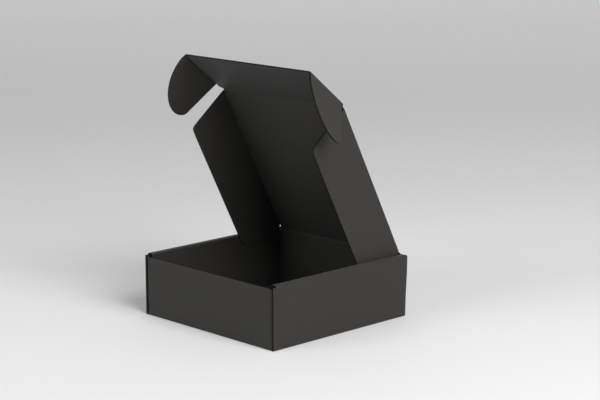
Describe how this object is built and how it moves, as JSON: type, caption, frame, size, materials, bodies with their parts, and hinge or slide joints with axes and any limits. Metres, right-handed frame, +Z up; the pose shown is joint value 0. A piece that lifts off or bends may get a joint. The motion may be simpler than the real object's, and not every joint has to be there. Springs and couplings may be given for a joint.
{
  "type": "mailer box",
  "caption": "Black corrugated board mailer box, open: shallow square tray with rolled double side walls, hinged lid with side wings, and a tuck flap with rounded lock ears.",
  "frame": {"origin": "centre of the footprint on the surface the box stands on, middle of its width and depth", "axes": "+X to the right seen from the front, +Y towards the lid's hinge, +Z up; the front wall faces -Y"},
  "size_m": [0.1956, 0.153, 0.2194],
  "materials": {
    "outer_board": "matte uncoated black paper liner",
    "inner_board": "matte uncoated black paper liner"
  },
  "bodies": {
    "tray": {"bottom_panel": "inner_board", "front_wall": "outer_board", "back_wall": "outer_board", "front_left_corner_flap": "outer_board", "front_right_corner_flap": "outer_board", "back_left_corner_flap": "outer_board", "back_right_corner_flap": "outer_board", "left_outer_wall": "outer_board", "right_outer_wall": "outer_board", "left_roll_strip": "outer_board", "right_roll_strip": "outer_board", "left_inner_wall": "inner_board", "right_inner_wall": "inner_board"},
    "lid": {"lid_panel": "inner_board"},
    "left_wing": {"left_lid_wing": "inner_board"},
    "right_wing": {"right_lid_wing": "inner_board"},
    "tuck_flap": {"tuck_flap": "outer_board"},
    "left_ear": {"left_lock_ear": "outer_board"},
    "right_ear": {"right_lock_ear": "outer_board"}
  },
  "joints": [
    {"name": "lid_hinge", "type": "hinge", "parent": "tray", "child": "lid", "pos_m": [0, 0.0758, 0.0529], "axis": [-1, 0, 0], "range_deg": [-63, 117]},
    {"name": "tuck_flap_fold", "type": "hinge", "parent": "lid", "child": "tuck_flap", "pos_m": [0, 0.00766, 0.18664], "axis": [-1, 0, 0], "range_deg": [-66, 24]},
    {"name": "left_wing_fold", "type": "hinge", "parent": "lid", "child": "left_wing", "pos_m": [-0.0721, 0.0411, 0.11945], "axis": [0, -0.454, 0.891], "range_deg": [0, 85]},
    {"name": "right_wing_fold", "type": "hinge", "parent": "lid", "child": "right_wing", "pos_m": [0.0721, 0.0411, 0.11945], "axis": [0, 0.454, -0.891], "range_deg": [0, 85]},
    {"name": "left_ear_fold", "type": "hinge", "parent": "tuck_flap", "child": "left_ear", "pos_m": [-0.0751, -0.01377, 0.20309], "axis": [0, 0.7771, -0.6293], "range_deg": [-30, 60]},
    {"name": "right_ear_fold", "type": "hinge", "parent": "tuck_flap", "child": "right_ear", "pos_m": [0.0751, -0.01377, 0.20309], "axis": [0, -0.7771, 0.6293], "range_deg": [-30, 60]}
  ]
}
